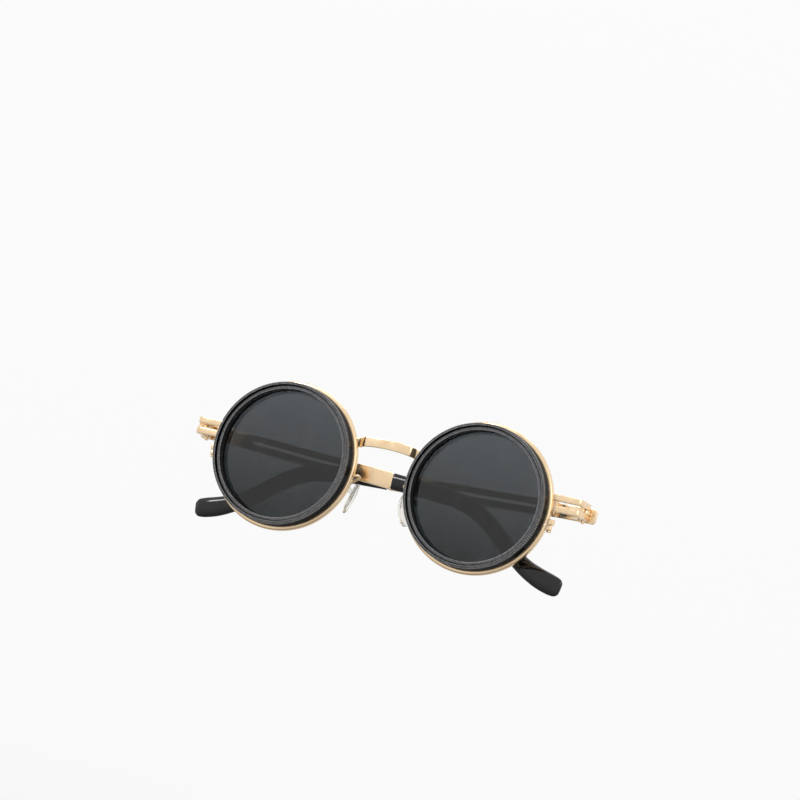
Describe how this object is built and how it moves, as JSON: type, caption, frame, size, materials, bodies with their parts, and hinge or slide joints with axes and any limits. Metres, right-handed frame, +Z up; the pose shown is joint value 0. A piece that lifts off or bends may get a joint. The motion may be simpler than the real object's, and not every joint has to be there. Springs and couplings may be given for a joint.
{
  "type": "spectacles with screw-on tinted filters",
  "caption": "Round gold metal spectacles with folding slotted temples, nose pads and a knurled black screw-on ring holding a dark grey lens on each rim.",
  "frame": {"origin": "centre of the bounding box on the surface under the two rims, temples folded", "axes": "+X towards the wearer's left, -Y out of the front of the lenses, +Z up the face"},
  "size_m": [0.1406, 0.0204, 0.0495],
  "materials": {
    "pale_gold": "polished pale gold plating",
    "gold_screw": "polished pale gold plating",
    "black_anodised": "black anodised, knurled lip, glossy wall",
    "dark_anodised": "satin dark grey anodised",
    "smoke_lens": "polished neutral grey tint",
    "clear_lens": "polished clear",
    "black_acetate": "polished black",
    "clear_silicone": "translucent soft silicone",
    "seal_rubber": "matte black"
  },
  "bodies": {
    "front": {"bridge": "pale_gold", "left_rim": "pale_gold", "left_rim_screw": "gold_screw", "left_clear_lens": "clear_lens", "left_end_piece": "pale_gold", "left_hinge_screw": "gold_screw", "left_nose_pad_arm": "pale_gold", "right_rim": "pale_gold", "right_rim_screw": "gold_screw", "right_clear_lens": "clear_lens", "right_end_piece": "pale_gold", "right_hinge_screw": "gold_screw", "right_nose_pad_arm": "pale_gold"},
    "left_temple": {"left_hinge_leaf": "pale_gold", "left_temple_bar": "pale_gold", "left_rivet_upper": "gold_screw", "left_rivet_lower": "gold_screw", "left_temple_tip": "black_acetate"},
    "left_pad": {"left_nose_pad": "clear_silicone", "left_nose_pad_screw": "gold_screw"},
    "left_seal": {"left_filter_seal": "seal_rubber"},
    "left_filter": {"left_filter_ring": "black_anodised", "left_filter_retainer": "dark_anodised", "left_filter_lens": "smoke_lens"},
    "right_temple": {"right_hinge_leaf": "pale_gold", "right_temple_bar": "pale_gold", "right_rivet_upper": "gold_screw", "right_rivet_lower": "gold_screw", "right_temple_tip": "black_acetate"},
    "right_pad": {"right_nose_pad": "clear_silicone", "right_nose_pad_screw": "gold_screw"},
    "right_seal": {"right_filter_seal": "seal_rubber"},
    "right_filter": {"right_filter_ring": "black_anodised", "right_filter_retainer": "dark_anodised", "right_filter_lens": "smoke_lens"}
  },
  "joints": [
    {"name": "left_temple_fold", "type": "hinge", "parent": "front", "child": "left_temple", "pos_m": [0.0669, 0.00426, 0.02875], "axis": [0, 0, -1], "range_deg": [0, 88.5]},
    {"name": "left_filter_advance", "type": "slide", "parent": "front", "child": "left_seal", "axis": [0, -1, 0], "range_m": [0, 0.0015]},
    {"name": "left_filter_turn", "type": "hinge", "parent": "left_seal", "child": "left_filter", "pos_m": [0.034, -0.01024, 0.02475], "axis": [0, -1, 0], "range_deg": [0, 720]},
    {"name": "left_pad_rock", "type": "hinge", "parent": "front", "child": "left_pad", "pos_m": [0.0127, -0.00014, 0.01935], "axis": [0, -1, 0], "range_deg": [-5, 5]},
    {"name": "right_temple_fold", "type": "hinge", "parent": "front", "child": "right_temple", "pos_m": [-0.0669, 0.00426, 0.02875], "axis": [0, 0, 1], "range_deg": [0, 91.8]},
    {"name": "right_filter_advance", "type": "slide", "parent": "front", "child": "right_seal", "axis": [0, -1, 0], "range_m": [0, 0.0015]},
    {"name": "right_filter_turn", "type": "hinge", "parent": "right_seal", "child": "right_filter", "pos_m": [-0.034, -0.01024, 0.02475], "axis": [0, -1, 0], "range_deg": [0, 720]},
    {"name": "right_pad_rock", "type": "hinge", "parent": "front", "child": "right_pad", "pos_m": [-0.0127, -0.00014, 0.01935], "axis": [0, 1, 0], "range_deg": [-5, 5]}
  ],
  "couplings": [
    {"joint": "left_filter_advance", "follows": "left_filter_turn", "m_per_rad": 0.00011937},
    {"joint": "right_filter_advance", "follows": "right_filter_turn", "m_per_rad": 0.00011937}
  ]
}
